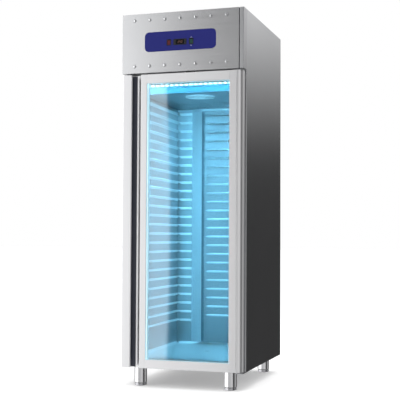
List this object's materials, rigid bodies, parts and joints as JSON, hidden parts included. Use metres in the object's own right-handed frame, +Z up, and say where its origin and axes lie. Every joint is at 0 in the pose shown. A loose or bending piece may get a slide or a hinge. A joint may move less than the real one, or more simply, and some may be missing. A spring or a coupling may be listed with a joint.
{
  "type": "proofing cabinet",
  "caption": "Upright insulated proofing cabinet with glazed pivot door, full-height grip, stacked tray ledges, lit chamber, lift-up control fascia, and a machine compartment above.",
  "frame": {"origin": "on the floor, at the middle of the cabinet's footprint", "axes": "+X to the right seen from the front, +Y to the back (the door faces -Y), +Z up"},
  "size_m": [0.7, 0.87, 2.05],
  "materials": {
    "skin_steel": "satin brushed stainless steel",
    "front_steel": "satin brushed stainless steel",
    "liner_steel": "bright stainless steel",
    "galvanised": "galvanised sheet",
    "foam": "cut rigid foam",
    "breaker_plastic": "smooth extruded plastic",
    "white_wire": "white coated wire",
    "motor_black": "semi-gloss black paint",
    "fan_plastic": "matte",
    "coil_aluminium": "bare aluminium",
    "heater_steel": "satin",
    "white_plastic": "matte",
    "aluminium_channel": "anodised",
    "copper": "bare copper",
    "box_paint": "powder coat",
    "black_plastic": "fine matte",
    "foot_chrome": "bright polished tube",
    "foot_plastic": "bright cap",
    "overlay_blue": "printed film, satin",
    "display_glass": "glossy dark window",
    "key_grey": "matte",
    "rocker_red": "translucent, lit",
    "rocker_green": "translucent, lit",
    "door_anodised": "satin anodised",
    "clear_glass": "clear float glass",
    "spacer_aluminium": "matte",
    "gasket_rubber": "soft matte",
    "led_glow": "lit diffuser"
  },
  "bodies": {
    "cabinet": {"side_panel_left": "skin_steel", "side_panel_right": "skin_steel", "rear_panel": "skin_steel", "roof_panel": "skin_steel", "base_panel": "skin_steel", "machine_tray": "galvanised", "foam_insulation": "foam", "liner_left": "liner_steel", "liner_right": "liner_steel", "liner_rear": "liner_steel", "liner_floor": "liner_steel", "liner_ceiling": "liner_steel", "breaker_frame": "breaker_plastic", "tray_ledges_left": "liner_steel", "tray_ledges_right": "liner_steel", "air_duct": "liner_steel", "fan_housing": "liner_steel", "fan_guard": "white_wire", "fan_motor": "motor_black", "evaporator_coil": "coil_aluminium", "heater_element": "heater_steel", "climate_probe": "white_plastic", "led_channels": "aluminium_channel", "led_diffusers": "led_glow", "floor_drain": "liner_steel", "compressor": "motor_black", "condenser_coil": "coil_aluminium", "condenser_motor": "motor_black", "refrigerant_pipes": "copper", "steam_boiler": "heater_steel", "electrical_box": "box_paint", "cable_gland": "black_plastic", "fascia_cheeks": "front_steel", "hinge_brackets": "heater_steel", "foot_sleeves": "foot_chrome"},
    "door": {"handle_stile": "door_anodised", "hinge_stile": "door_anodised", "door_rails": "door_anodised", "glass_panes": "clear_glass", "glazing_spacer": "spacer_aluminium", "door_gasket": "gasket_rubber", "hinge_blocks": "white_plastic"},
    "fascia": {"fascia_panel": "front_steel", "fascia_catch": "black_plastic", "control_overlay": "overlay_blue", "controller_body": "black_plastic", "display_window": "display_glass", "switch_housings": "black_plastic"},
    "circulation_fan": {"fan_rotor": "fan_plastic"},
    "condenser_fan": {"condenser_rotor": "fan_plastic"},
    "power_switch": {"power_rocker": "rocker_red"},
    "light_switch": {"light_rocker": "rocker_green"},
    "up_key": {"key_up": "key_grey"},
    "down_key": {"key_down": "key_grey"},
    "set_key": {"key_set": "key_grey"},
    "light_key": {"key_light": "key_grey"},
    "front_left_foot": {"foot_front_left": "foot_plastic"},
    "front_right_foot": {"foot_front_right": "foot_plastic"},
    "rear_left_foot": {"foot_rear_left": "foot_plastic"},
    "rear_right_foot": {"foot_rear_right": "foot_plastic"}
  },
  "joints": [
    {"name": "door_swing", "type": "hinge", "parent": "cabinet", "child": "door", "pos_m": [0.324, -0.407, 0.103], "axis": [0, 0, 1], "range_deg": [0, 105], "stiffness_Nm_per_rad": 2, "springref_deg": -34.38},
    {"name": "fascia_lift", "type": "hinge", "parent": "cabinet", "child": "fascia", "pos_m": [0, -0.402, 2.03], "axis": [-1, 0, 0], "range_deg": [0, 75]},
    {"name": "circulation_fan_spin", "type": "hinge", "parent": "cabinet", "child": "circulation_fan", "pos_m": [0, -0.12, 1.643], "axis": [0, 0, 1], "continuous": true},
    {"name": "condenser_fan_spin", "type": "hinge", "parent": "cabinet", "child": "condenser_fan", "pos_m": [0.17, -0.207, 1.8585], "axis": [0, 1, 0], "continuous": true},
    {"name": "power_switch_rock", "type": "hinge", "parent": "fascia", "child": "power_switch", "pos_m": [-0.076, -0.424, 1.882], "axis": [1, 0, 0], "range_deg": [-14, 0]},
    {"name": "light_switch_rock", "type": "hinge", "parent": "fascia", "child": "light_switch", "pos_m": [0.053, -0.424, 1.882], "axis": [1, 0, 0], "range_deg": [-14, 0]},
    {"name": "up_key_press", "type": "slide", "parent": "fascia", "child": "up_key", "axis": [0, 1, 0], "range_m": [0, 0.0008], "stiffness_N_per_m": 400, "springref_m": -0.0003},
    {"name": "down_key_press", "type": "slide", "parent": "fascia", "child": "down_key", "axis": [0, 1, 0], "range_m": [0, 0.0008], "stiffness_N_per_m": 400, "springref_m": -0.0003},
    {"name": "set_key_press", "type": "slide", "parent": "fascia", "child": "set_key", "axis": [0, 1, 0], "range_m": [0, 0.0008], "stiffness_N_per_m": 400, "springref_m": -0.0003},
    {"name": "light_key_press", "type": "slide", "parent": "fascia", "child": "light_key", "axis": [0, 1, 0], "range_m": [0, 0.0008], "stiffness_N_per_m": 400, "springref_m": -0.0003},
    {"name": "front_left_foot_screw", "type": "slide", "parent": "cabinet", "child": "front_left_foot", "axis": [0, 0, -1], "range_m": [0, 0.02]},
    {"name": "front_right_foot_screw", "type": "slide", "parent": "cabinet", "child": "front_right_foot", "axis": [0, 0, -1], "range_m": [0, 0.02]},
    {"name": "rear_left_foot_screw", "type": "slide", "parent": "cabinet", "child": "rear_left_foot", "axis": [0, 0, -1], "range_m": [0, 0.02]},
    {"name": "rear_right_foot_screw", "type": "slide", "parent": "cabinet", "child": "rear_right_foot", "axis": [0, 0, -1], "range_m": [0, 0.02]}
  ]
}
